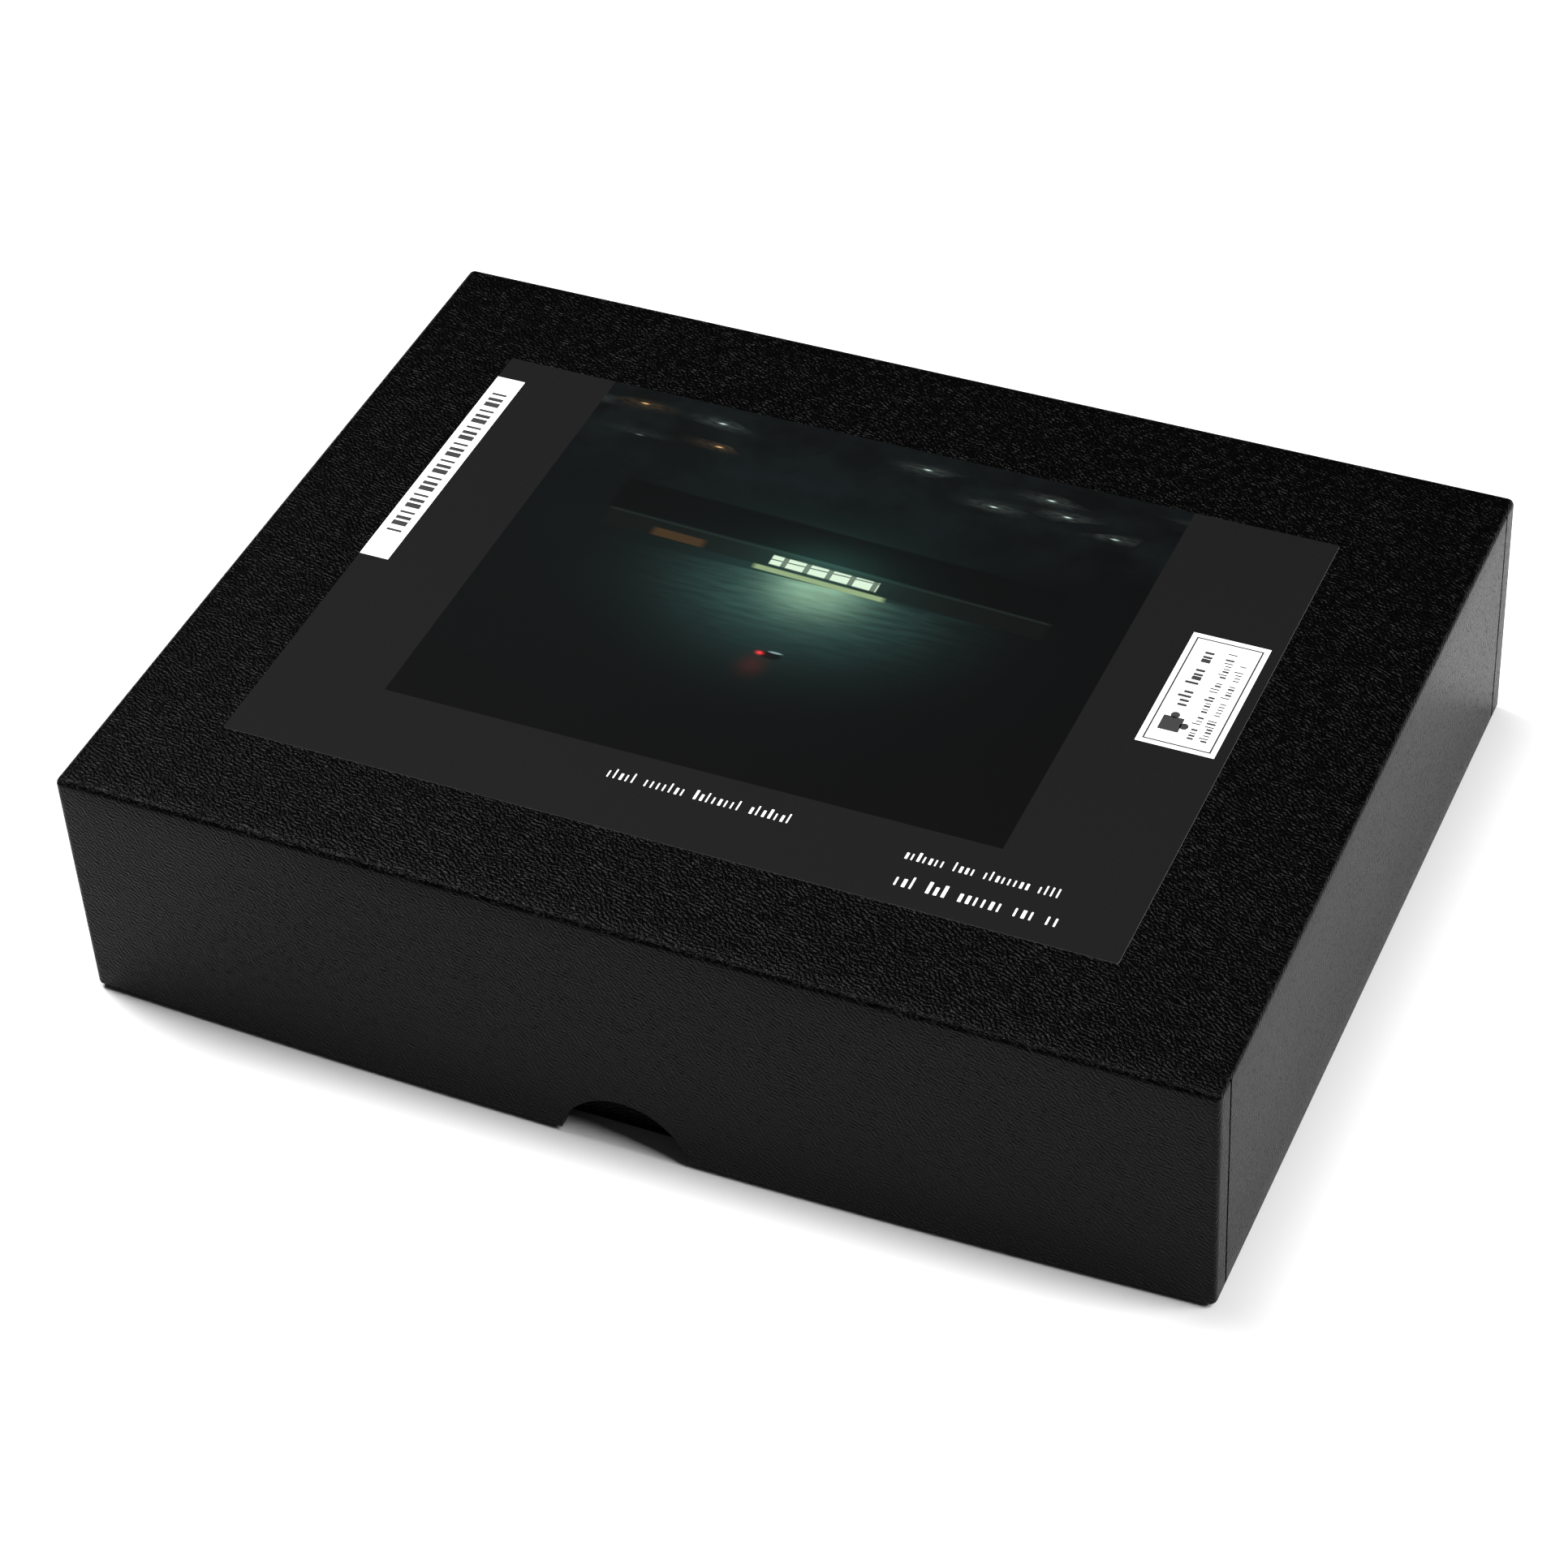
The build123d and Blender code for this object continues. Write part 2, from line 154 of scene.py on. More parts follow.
class Bench:
    """One material's node tree, with a single method that adds any node."""

    def __init__(self, name: str) -> None:
        """Start an empty material of the given name."""
        self.material = bpy.data.materials.new(name)
        self.material.use_nodes = True
        self.tree = self.material.node_tree
        self.tree.nodes.clear()

    def node(
        self, kind: str, settings: Mapping = {}, inputs: Mapping = {}, output: Union[int, str, None] = 0
    ) -> Union[Signal, None]:
        """Add a node.

        Args:
            kind: The node's type.
            settings: Attributes to set first.
            inputs: Values or signals, by socket name or number.
            output: The output socket that the result stands for, or None.

        Returns:
            The chosen output, if any.
        """
        made = self.tree.nodes.new(kind)
        for key, value in settings.items():
            setattr(made, key, value)
        for key, value in inputs.items():
            if isinstance(value, Signal):
                self.tree.links.new(value.socket, made.inputs[key])
            else:
                made.inputs[key].default_value = value
        return None if output is None else Signal(self, made.outputs[output])

    def objects(self) -> Signal:
        """Return Object coordinates, in metres."""
        return self.node("ShaderNodeTexCoord", {}, {}, "Object")

    def uv(self, name: str) -> Signal:
        """Return the piece's own UV map of the given name."""
        return self.node("ShaderNodeUVMap", {"uv_map": name})

    def split(self, vector: Signal) -> tuple[Signal, Signal, Signal]:
        """Return the three parts of a vector."""
        parts = self.node("ShaderNodeSeparateXYZ", {}, {0: vector}).socket.node
        return tuple(Signal(self, out) for out in parts.outputs)

    def vector(self, operation: str, first: Union[Signal, tuple], second: Union[Signal, tuple]) -> Signal:
        """Return a Vector Math node's result."""
        return self.node("ShaderNodeVectorMath", {"operation": operation}, {0: first, 1: second})

    def noise(self, vector: Signal, scale: float, detail: float = 2.0, rough: float = 0.5) -> Signal:
        """Return smooth noise between 0 and 1."""
        return self.node(
            "ShaderNodeTexNoise", {},
            {"Vector": vector, "Scale": scale, "Detail": detail, "Roughness": rough},
        )

    def cells(self, vector: Signal, output: str = "Distance") -> Signal:
        """Return the distance to the nearest point of a flat scatter, or that point's colour."""
        settings = {"voronoi_dimensions": "2D"}
        return self.node("ShaderNodeTexVoronoi", settings, {"Vector": vector, "Scale": 1.0}, output)

    def mix(self, factor: Number, first: Union[Signal, Colour], second: Union[Signal, Colour],
            blend: str = "MIX") -> Signal:
        """Return a colour mixed from two by factor."""
        first = first if isinstance(first, Signal) else (*first, 1.0)
        second = second if isinstance(second, Signal) else (*second, 1.0)
        settings = {"data_type": "RGBA", "blend_type": blend, "clamp_factor": True}
        return self.node("ShaderNodeMix", settings, {0: factor, 6: first, 7: second}, 2)

    def layers(self, under: Signal, layers: Iterable[tuple[Signal, Colour]], blend: str = "MIX") -> Signal:
        """Return a colour with others laid over it in turn, each through its own mask."""
        for mask, colour in layers:
            under = self.mix(mask, under, colour, blend)
        return under

    def bump(self, height: Signal, depth: float) -> Signal:
        """Return a normal pushed by height times depth metres."""
        return self.node("ShaderNodeBump", {}, {"Height": height, "Distance": depth, "Strength": 1.0})

    def surface(self, **sockets: Union[Number, Colour]) -> bpy.types.Material:
        """Finish the material as one Principled shader; underscores in the names stand for spaces."""
        inputs = {}
        for key, value in sockets.items():
            inputs[key.replace("_", " ")] = (*value, 1.0) if isinstance(value, tuple) else value
        shader = self.node("ShaderNodeBsdfPrincipled", {}, inputs)
        self.node("ShaderNodeOutputMaterial", {}, {"Surface": shader}, None)
        return self.material


def shade(colour: Colour, share: float) -> Colour:
    """Return a colour made darker or lighter."""
    return tuple(part * share for part in colour)


# ---- finishes


@dataclass(frozen=True)
class LeatherPaper:
    """Black paper embossed with a fine leather grain of short wavy wrinkles, which runs over the folds."""

    name: str
    angle: float = 55.0  # degrees from the sheet's x to the way across the wrinkles
    spacing: float = 0.96  # millimetres from wrinkle to wrinkle
    reach: float = 1.8  # millimetres along one wrinkle
    lean: float = 0.6  # how much the wrinkles run one way
    cross: float = 0.45  # height of the second, rounder grain
    drift: float = 1.2  # millimetres that the pattern wanders
    depth: float = 0.28 * MM
    roughness: float = 0.26
    ior: float = 1.135
    colour: Colour = (0.0004, 0.0004, 0.0004)
    ridge: Colour = (0.0190, 0.0190, 0.0190)

    def grain(self, bench: Bench, laid: Signal, size: float, lean: float, angle: float) -> Signal:
        """Return one layer of wrinkles between 0 and 1, of the given size and lean."""
        return bench.node(
            "ShaderNodeTexGabor", {"gabor_type": "2D"},
            {
                "Vector": laid, "Scale": 1.0 / (self.reach * size), "Frequency": self.reach / self.spacing,
                "Anisotropy": lean, "Orientation": math.radians(angle),
            }, "Value",
        )

    def material(self) -> bpy.types.Material:
        """Return the paper, which reads the sheet's unfolded UV map in millimetres."""
        bench = Bench(self.name)
        sheet = bench.uv("sheet")
        cloud = bench.node(
            "ShaderNodeTexNoise", {}, {"Vector": sheet, "Scale": 0.5, "Detail": 2.0}, "Color"
        )
        wander = bench.vector("SUBTRACT", cloud, (0.5, 0.5, 0.5))
        laid = bench.vector("ADD", sheet, bench.vector("MULTIPLY", wander, (self.drift, self.drift, 0.0)))
        wrinkles = self.grain(bench, laid, 1.0, self.lean, self.angle)
        pebbles = self.grain(bench, laid, 0.55, 0.15, self.angle - 30.0)
        grit = bench.noise(sheet, 3.2, 2.0)
        height = wrinkles + pebbles * self.cross + grit * 0.22
        broad = bench.noise(sheet, 0.02, 2.0)
        rough = self.roughness + (1.0 - wrinkles) * 0.08 + (broad - 0.5) * 0.05
        worn = (wrinkles * 0.75 + pebbles * 0.25).rise(0.60, 0.88) * grit.rise(0.25, 0.7)
        tint = bench.mix(worn, self.colour, self.ridge)
        return bench.surface(
            Base_Color=tint, Roughness=rough, IOR=self.ior, Normal=bench.bump(height, self.depth),
        )


@dataclass(frozen=True)
class PrintedGround:
    """Dark matte print on smooth label paper, with a faint speckle from the printer."""

    name: str
    colour: Colour = (0.0044, 0.0044, 0.0044)
    roughness: float = 0.66
    ior: float = 1.16

    def material(self) -> bpy.types.Material:
        """Return the print."""
        bench = Bench(self.name)
        place = bench.objects()
        speckle = bench.noise(place, 2600.0, 2.0, 0.7)
        broad = bench.noise(place, 18.0, 2.0)
        fleck = speckle.rise(0.30, 0.72) * 0.75 + broad * 0.25
        tint = bench.mix(fleck, shade(self.colour, 0.82), shade(self.colour, 1.18))
        return bench.surface(
            Base_Color=tint, Roughness=self.roughness + (broad - 0.5) * 0.06,
            IOR=self.ior, Normal=bench.bump(speckle, 0.004 * MM),
        )


@dataclass(frozen=True)
class NightPicture:
    """A made-up night view for the label and the pieces: a lit boathouse by a dark lake."""

    name: str
    roughness: float = 0.5
    ior: float = 1.13
    middle: float = 0.515  # across the picture, from 0 to 1, where the boathouse stands
    shore: float = 0.552  # up the picture, from 0 to 1, where the water meets the deck

    def far_lamps(self, bench: Bench, u: Signal, v: Signal) -> Signal:
        """Return the colour of the few small lamps and lit walls along the further shore."""
        plane = bench.node("ShaderNodeCombineXYZ", {}, {0: u * 8.5, 1: v * 26.0})
        near = bench.cells(plane)
        pick, warmth, _ = bench.split(bench.cells(plane, "Color"))
        lit = (pick > 0.60) * v.band(0.855, 0.975, 0.02)
        lamp = near.bell(0.0, 0.045) * lit
        pool = near.bell(0.0, 0.34) * lit * (bench.noise(plane, 7.0, 2.0) * 1.6 - 0.4).clamp()
        tone = bench.mix(warmth > 0.72, (0.62, 0.78, 0.70), (0.85, 0.50, 0.22))
        return bench.mix(lamp * 0.55 + pool * 0.045, (0.0, 0.0, 0.0), tone)

    def boathouse(self, bench: Bench, u: Signal, v: Signal, picture: Signal) -> Signal:
        """Return the picture with the boathouse: roof, eave, lit windows, deck and a dim porch."""
        lean = v + (u - self.middle) * 0.05
        shore, middle = self.shore, self.middle
        roof = lean.band(shore + 0.064, shore + 0.16, 0.006) * u.band(0.12, 0.90, 0.015)
        wall = lean.band(shore + 0.012, shore + 0.062, 0.004) * u.band(0.13, 0.89, 0.01)
        eave = lean.band(shore + 0.058, shore + 0.066, 0.003) * u.band(0.13, 0.89, 0.01)
        panes = ((u * 165.0).sin() > -0.75) * ((v * 230.0).sin() > -0.92)
        windows = lean.band(shore + 0.022, shore + 0.052, 0.003)
        windows = windows * u.band(middle - 0.092, middle + 0.092, 0.002)
        deck = lean.band(shore, shore + 0.016, 0.003) * u.band(middle - 0.115, middle + 0.115, 0.01)
        porch = lean.band(shore + 0.016, shore + 0.042, 0.003) * u.band(0.215, 0.315, 0.012)
        return bench.layers(picture, (
            (roof * 0.75, (0.0009, 0.0011, 0.0012)),
            (wall * 0.5, (0.0030, 0.0038, 0.0030)),
            (eave * 0.5, (0.010, 0.016, 0.013)),
            (windows * (panes * 0.8 + 0.2), (0.34, 0.43, 0.33)),
            (deck * 0.8, (0.17, 0.235, 0.12)),
            (porch * 0.5, (0.050, 0.026, 0.010)),
        ))

    def boat(self, bench: Bench, u: Signal, v: Signal, picture: Signal) -> Signal:
        """Return the picture with a small rowing boat, its pale gunwale and its red stern lamp."""
        hull = u.bell(0.515, 0.020) * v.bell(0.335, 0.011)
        rim = u.bell(0.520, 0.015) * v.bell(0.345, 0.0035)
        lamp = u.bell(0.497, 0.005) * v.bell(0.336, 0.004)
        gleam = u.bell(0.497, 0.020) * v.bell(0.300, 0.028)
        return bench.layers(picture, (
            (hull.rise(0.35, 0.6), (0.0020, 0.0032, 0.0034)),
            (rim.rise(0.4, 0.8), (0.11, 0.17, 0.17)),
            (lamp, (0.60, 0.030, 0.035)),
            (gleam * 0.05, (0.30, 0.02, 0.02)),
        ))

    def view(self, bench: Bench, place: Signal) -> Signal:
        """Return the picture's colour at a place whose x and y run from 0 to 1."""
        u, v, _ = bench.split(place)
        swell = bench.noise(place, 5.0, 3.0)
        ripple = bench.noise(bench.vector("MULTIPLY", place, (14.0, 90.0, 1.0)), 1.0, 3.0)
        haze = u.bell(0.36, 0.42) * v.bell(0.60, 0.36)
        picture = bench.mix(haze * (swell * 0.7 + 0.4), (0.0010, 0.0010, 0.0012), (0.0022, 0.0042, 0.0041))
        far = v.rise(0.70, 0.82) * (bench.noise(place, 9.0, 4.0) * 2.2 - 0.85).clamp()
        trees = v.rise(0.66, 0.70) * (bench.noise(place, 16.0, 5.0, 0.7) * 3.0 - 1.6).clamp()
        picture = bench.layers(picture, (
            (far * 0.7, (0.0045, 0.0078, 0.0082)), (trees * 0.8, (0.0010, 0.0014, 0.0013)),
        ))
        glow = u.bell(self.middle - 0.01, 0.17) * v.bell(self.shore - 0.05, 0.16)
        above = u.bell(self.middle, 0.085) * v.bell(self.shore + 0.062, 0.055)
        water = v < self.shore
        spill = u.bell(self.middle + 0.005, 0.066) * v.bell(self.shore, 0.075) * water
        sheen = u.bell(self.middle, 0.16) * v.bell(self.shore - 0.03, 0.11) * water
        picture = bench.layers(picture, (
            (glow * 0.9, (0.008, 0.024, 0.021)),
            (above, (0.014, 0.046, 0.036)),
            (spill * (ripple * 0.7 + 0.55), (0.115, 0.185, 0.120)),
            (sheen * (ripple * 1.6 - 0.35).clamp(), (0.020, 0.048, 0.040)),
        ), "ADD")
        picture = self.boathouse(bench, u, v, picture)
        picture = self.boat(bench, u, v, picture)
        return bench.mix(1.0, picture, self.far_lamps(bench, u, v), "ADD")

    def material(self) -> bpy.types.Material:
        """Return the printed picture, which reads the piece's print UV map."""
        bench = Bench(self.name)
        speckle = bench.noise(bench.objects(), 2600.0, 2.0, 0.7)
        return bench.surface(
            Base_Color=self.view(bench, bench.uv("print")),
            Roughness=self.roughness + speckle * 0.06, IOR=self.ior,
            Normal=bench.bump(speckle, 0.004 * MM),
        )


@dataclass(frozen=True)
class PlainStock:
    """Paper, ink or board of one colour with fibres, flecks and a little mottling."""

    name: str
    colour: Colour
    fleck: Colour
    flecks: float = 0.2
    fibre: float = 900.0
    depth: float = 0.015 * MM
    roughness: float = 0.85
    specular: float = 0.25

    def material(self) -> bpy.types.Material:
        """Return the stock."""
        bench = Bench(self.name)
        place = bench.objects()
        fibres = bench.noise(bench.vector("MULTIPLY", place, (1.0, 2.6, 1.7)), self.fibre, 3.0, 0.65)
        mottle = bench.noise(place, 55.0, 3.0)
        spots = bench.noise(place, self.fibre * 0.55, 2.0).rise(0.62, 0.74)
        tint = bench.mix(fibres * 0.6 + mottle * 0.4, shade(self.colour, 0.86), shade(self.colour, 1.12))
        tint = bench.mix(spots * self.flecks, tint, self.fleck)
        return bench.surface(
            Base_Color=tint, Roughness=self.roughness + (mottle - 0.5) * 0.1,
            Specular_IOR_Level=self.specular, Normal=bench.bump(fibres, self.depth),
        )


@dataclass(frozen=True)
class ClearFilm:
    """Thin clear bag film: see-through, with a mirror's thin sheen that grows at glancing angles."""

    name: str
    sheen: float = 0.035
    gloss: float = 0.25

    def material(self) -> bpy.types.Material:
        """Return the film."""
        bench = Bench(self.name)
        creases = bench.noise(bench.objects(), 55.0, 3.0, 0.55)
        facing = bench.node("ShaderNodeLayerWeight", {}, {"Blend": 0.25}, "Fresnel")
        return bench.surface(
            Base_Color=(0.88, 0.90, 0.91), Metallic=1.0, Roughness=0.13 + creases * 0.10,
            Alpha=(facing * self.gloss + self.sheen).clamp(), Normal=bench.bump(creases, 0.6 * MM),
        )


@dataclass(frozen=True)
class FloorPaint:
    """Pale studio floor."""

    name: str = "studio_floor"
    colour: Colour = (0.88, 0.88, 0.88)

    def material(self) -> bpy.types.Material:
        """Return the floor's paint."""
        bench = Bench(self.name)
        cloud = bench.noise(bench.objects(), 3.0, 2.0)
        tint = bench.mix(cloud, shade(self.colour, 0.985), self.colour)
        return bench.surface(Base_Color=tint, Roughness=0.9, Specular_IOR_Level=0.1)


PRINTED = (0.1, 1500.0, 0.003 * MM, 0.6)  # flecks, fibre, depth and roughness of a print


class Stock(Enum):
    """Every finish in the box, made once and shared by the pieces."""

    LEATHER = LeatherPaper("wrap_leather_grain")
    JOINT = LeatherPaper(
        "wrap_joint_depth", depth=0.05 * MM, roughness=0.6, ior=1.02,
        colour=(0.0002,) * 3, ridge=(0.0004,) * 3,
    )
    GROUND = PrintedGround("label_ground_print")
    PICTURE = NightPicture("night_picture_print")
    PIECE_PRINT = NightPicture("piece_picture_print", 0.42)
    LABEL_EDGE = PlainStock("label_paper_edge", (0.30, 0.30, 0.29), (0.2, 0.2, 0.2))
    WHITE = PlainStock("white_print", (0.80, 0.80, 0.79), (0.7, 0.7, 0.7), *PRINTED)
    INK = PlainStock("black_ink", (0.022, 0.022, 0.023), (0.04, 0.04, 0.04), *PRINTED)
    PALE = PlainStock("pale_print", (0.74, 0.74, 0.73), (0.6, 0.6, 0.6), *PRINTED)
    GREYBOARD = PlainStock("pulp_greyboard", (0.36, 0.335, 0.29), (0.16, 0.13, 0.10), 0.5)
    KRAFT = PlainStock("kraft_stay_paper", (0.46, 0.34, 0.20), (0.25, 0.17, 0.09), 0.35)
    BASE_PAPER = PlainStock("matte_base_paper", (0.014, 0.014, 0.015), (0.03, 0.03, 0.03), 0.2)
    PIECE_BOARD = PlainStock("piece_board_core", (0.33, 0.30, 0.25), (0.16, 0.13, 0.10), 0.5)
    PIECE_BACK = PlainStock("piece_back_paper", (0.30, 0.33, 0.36), (0.20, 0.23, 0.26), 0.3)
    FILM = ClearFilm("clear_bag_film")
    FLOOR = FloorPaint()

    def material(self) -> bpy.types.Material:
        """Return the material of this finish, made on its first use."""
        made = bpy.data.materials.get(self.value.name)
        return made if made is not None else self.value.material()


# ---- mesh bench


class Editing:
    """Edit mode on one piece, with its faces or edges chosen by their place."""

    def __init__(self, piece: bpy.types.Object, mode: str = "FACE") -> None:
        """Name the piece and what is to be selected: VERT, EDGE or FACE."""
        self.piece = piece
        self.mode = mode

    def __enter__(self) -> "Editing":
        """Enter edit mode with nothing selected."""
        only(self.piece)
        bpy.ops.object.mode_set(mode="EDIT")
        bpy.ops.mesh.select_mode(type=self.mode)
        bpy.ops.mesh.select_all(action="DESELECT")
        return self

    def __exit__(self, *_: object) -> None:
        """Leave edit mode."""
        bpy.ops.object.mode_set(mode="OBJECT")

    def all(self) -> None:
        """Select the whole mesh."""
        bpy.ops.mesh.select_all(action="SELECT")

    def faces(self, test: FaceTest) -> None:
        """Select only the faces whose centre and normal pass the test."""
        work = bmesh.from_edit_mesh(self.piece.data)
        for face in work.faces:
            face.select_set(bool(test(face.calc_center_median(), face.normal)))
        work.select_flush_mode()
        bmesh.update_edit_mesh(self.piece.data)

    def edges(self, test: FaceTest) -> None:
        """Select only the edges whose middle and direction pass the test."""
        work = bmesh.from_edit_mesh(self.piece.data)
        for face in work.faces:
            face.select_set(False)
        for edge in work.edges:
            ends = [v.co for v in edge.verts]
            way = (ends[1] - ends[0]).normalized()
            edge.select_set(bool(test((ends[0] + ends[1]) / 2, way)))
        bmesh.update_edit_mesh(self.piece.data)

    def slices(self, axis: int, places: Iterable[float]) -> None:
        """Cut the mesh by planes across one axis, leaving it whole."""
        across = [0.0, 0.0, 0.0]
        across[axis] = 1.0
        for place in places:
            self.all()
            point = [0.0, 0.0, 0.0]
            point[axis] = place
            bpy.ops.mesh.bisect(plane_co=point, plane_no=across)


def only(piece: bpy.types.Object) -> None:
    """Make one object the selected and active one."""
    bpy.ops.object.select_all(action="DESELECT")
    piece.select_set(True)
    bpy.context.view_layer.objects.active = piece


def block(name: str, low: Sequence[float], high: Sequence[float]) -> bpy.types.Object:
    """Add a cube primitive stretched between two corners, with its place in its mesh."""
    bpy.ops.object.select_all(action="DESELECT")
    middle = [(a + b) / 2 for a, b in zip(low, high)]
    size = [b - a for a, b in zip(low, high)]
    bpy.ops.mesh.primitive_cube_add(size=1.0, location=middle, scale=size)
    piece = bpy.context.active_object
    piece.name = piece.data.name = name
    settle_place(piece)
    return piece


def settle_place(piece: bpy.types.Object) -> None:
    """Put an object's place, turn and scale into its mesh."""
    only(piece)
    bpy.ops.object.transform_apply(location=True, rotation=True, scale=True)


def modify(piece: bpy.types.Object, kind: str, **settings: object) -> None:
    """Add a modifier with its settings and apply it."""
    only(piece)
    made = piece.modifiers.new(kind.lower(), kind)
    for key, value in settings.items():
        setattr(made, key, value)
    bpy.ops.object.modifier_apply(modifier=made.name)


def clear_maps(mesh: bpy.types.Mesh) -> None:
    """Take a mesh's UV maps away."""
    while mesh.uv_layers:
        mesh.uv_layers.remove(mesh.uv_layers[0])


def smooth(piece: bpy.types.Object, degrees: float = 35.0) -> None:
    """Shade a piece smooth except at edges sharper than the angle."""
    only(piece)
    bpy.ops.object.shade_smooth_by_angle(angle=math.radians(degrees))


def paint(piece: bpy.types.Object, *stocks: Stock) -> None:
    """Give a piece its materials, one slot for each finish."""
    piece.data.materials.clear()
    for stock in stocks:
        piece.data.materials.append(stock.material())


def joined(name: str, pieces: Sequence[bpy.types.Object]) -> bpy.types.Object:
    """Join several objects into one piece and name it."""
    bpy.ops.object.select_all(action="DESELECT")
    for piece in pieces:
        piece.select_set(True)
    bpy.context.view_layer.objects.active = pieces[0]
    if len(pieces) > 1:
        bpy.ops.object.join()
    piece = bpy.context.active_object
    piece.name = piece.data.name = name
    return piece


def spread(low: float, high: float, pitch: float) -> list[float]:
    """Return evenly spaced places strictly between low and high, about a pitch apart."""
    count = max(2, round((high - low) / pitch))
    return [low + (high - low) * step / count for step in range(1, count)]


def report(piece: bpy.types.Object, what: str) -> None:
    """Log a finished piece with its face count."""
    LOG.info("%s: %s, %d faces", piece.name, what, len(piece.data.polygons))


# ---- wraps


JOINT_SLOT = 1


@dataclass
class Wrap:
    """One sheet of leather paper glued round a box shell: folded at the rim and turned in.

    The box is closed at closed_z and open at open_z, so a lid and a tray are the same piece turned over.
    """

    name: str
    node: str
    body: str
    length: float
    width: float
    closed_z: float
    open_z: float
    corner: float
    fold: float
    turn_in: float
    paper: float = 0.25 * MM
    wall: float = 2.5 * MM
    rim: float = 0.5 * MM
    pitch: float = 6.0 * MM
    bow: float = 0.0
    notch_radius: float = 0.0
    notch_z: float = 0.0
    window: float = 0.0  # how far the sheet is turned over the closed side, 0 for all of it
    seam: float = 0.0  # distance of the end flaps' edges from the corners, 0 for none
    seam_gap: float = 0.8 * MM
    seam_depth: float = 0.22 * MM
    ripple: float = 0.05 * MM

    @property
    def up(self) -> float:
        """Return 1 when the open side is above the closed one, else -1."""
        return math.copysign(1.0, self.open_z - self.closed_z)

    def block_with_pocket(self) -> bpy.types.Object:
        """Return the outer block with a shallow pocket, as deep as the turn-in, in its open side."""
        low, high = sorted((self.closed_z, self.open_z))
        half_x, half_y = self.length / 2, self.width / 2
        piece = block(self.name, (-half_x, -half_y, low), (half_x, half_y, high))
        with Editing(piece) as edit:
            edit.faces(lambda _, normal: normal.z * self.up > 0.9)
            bpy.ops.mesh.inset(thickness=self.wall)
            bpy.ops.mesh.extrude_region_move(
                TRANSFORM_OT_translate={"value": (0, 0, -self.up * self.turn_in)}
            )
            if self.window:
                edit.faces(lambda _, normal: normal.z * self.up < -0.9)
                bpy.ops.mesh.inset(thickness=self.window)
        return piece

    def on_outline(self, place: Vector, inset: float = 0.0) -> bool:
        """Return whether a point lies on the outline drawn in by inset."""
        over_x = abs(place.x) - (self.length / 2 - inset)
        over_y = abs(place.y) - (self.width / 2 - inset)
        return abs(max(over_x, over_y)) < CLOSE

    def round_edges(self, piece: bpy.types.Object) -> None:
        """Round the upright corners, the fold round the closed side and both edges of the rim."""
        half_x, half_y = self.length / 2, self.width / 2
        with Editing(piece, "EDGE") as edit:
            edit.edges(
                lambda place, way: abs(way.z) > 0.9
                and abs(abs(place.x) - half_x) < CLOSE
                and abs(abs(place.y) - half_y) < CLOSE
            )
            bpy.ops.mesh.bevel(offset=self.corner, segments=6, affect="EDGES")
            edit.edges(
                lambda place, way: abs(place.z - self.closed_z) < CLOSE and abs(way.z) < 0.1
                and self.outside(place)
            )
            bpy.ops.mesh.bevel(offset=self.fold, segments=6, affect="EDGES")
            edit.edges(
                lambda place, way: abs(place.z - self.open_z) < CLOSE and abs(way.z) < 0.1
                and (self.outside(place) or self.on_outline(place, self.wall))
            )
            bpy.ops.mesh.bevel(offset=self.rim, segments=3, affect="EDGES")

    def outside(self, place: Vector) -> bool:
        """Return whether a point lies on the outer outline with its rounded corners."""
        over_x = abs(place.x) - (self.length / 2 - self.corner)
        over_y = abs(place.y) - (self.width / 2 - self.corner)
        if over_x <= CLOSE or over_y <= CLOSE:
            return self.on_outline(place)
        return math.hypot(over_x, over_y) > self.corner * 0.9

    def cut_grid(self, piece: bpy.types.Object) -> None:
        """Cut the sheet into cells small enough to swell and ripple, and along the flaps' edges."""
        half_x = self.length / 2 - self.corner - self.rim
        half_y = self.width / 2 - self.wall - self.corner
        low, high = sorted((self.closed_z + self.up * self.fold, self.open_z - self.up * self.rim))
        flap = self.width / 2 - self.seam
        with Editing(piece) as edit:
            edit.slices(0, spread(-half_x, half_x, self.pitch))
            edit.slices(1, spread(-half_y, half_y, self.pitch))
            edit.slices(2, spread(low, high, self.pitch))
            if self.seam:
                edges = [side * (flap - gap) for side in (-1, 1) for gap in (0.0, self.seam_gap)]
                edit.slices(1, edges)
                edit.faces(
                    lambda place, normal: abs(normal.x) > 0.9
                    and abs(abs(place.x) - self.length / 2) < CLOSE
                    and flap - self.seam_gap < abs(place.y) < flap
                )
                bpy.ops.mesh.inset(thickness=0.06 * MM, depth=-self.seam_depth)

    def cut_notch(self, piece: bpy.types.Object) -> None:
        """Punch the thumb notch through both long walls."""
        bpy.ops.object.select_all(action="DESELECT")
        bpy.ops.mesh.primitive_cylinder_add(
            vertices=112, radius=self.notch_radius, depth=self.width * 2,
            location=(0, 0, self.notch_z), rotation=(math.pi / 2, 0, 0),
        )
        punch = bpy.context.active_object
        settle_place(punch)
        modify(piece, "BOOLEAN", object=punch, operation="DIFFERENCE", solver="EXACT")
        bpy.data.objects.remove(punch)

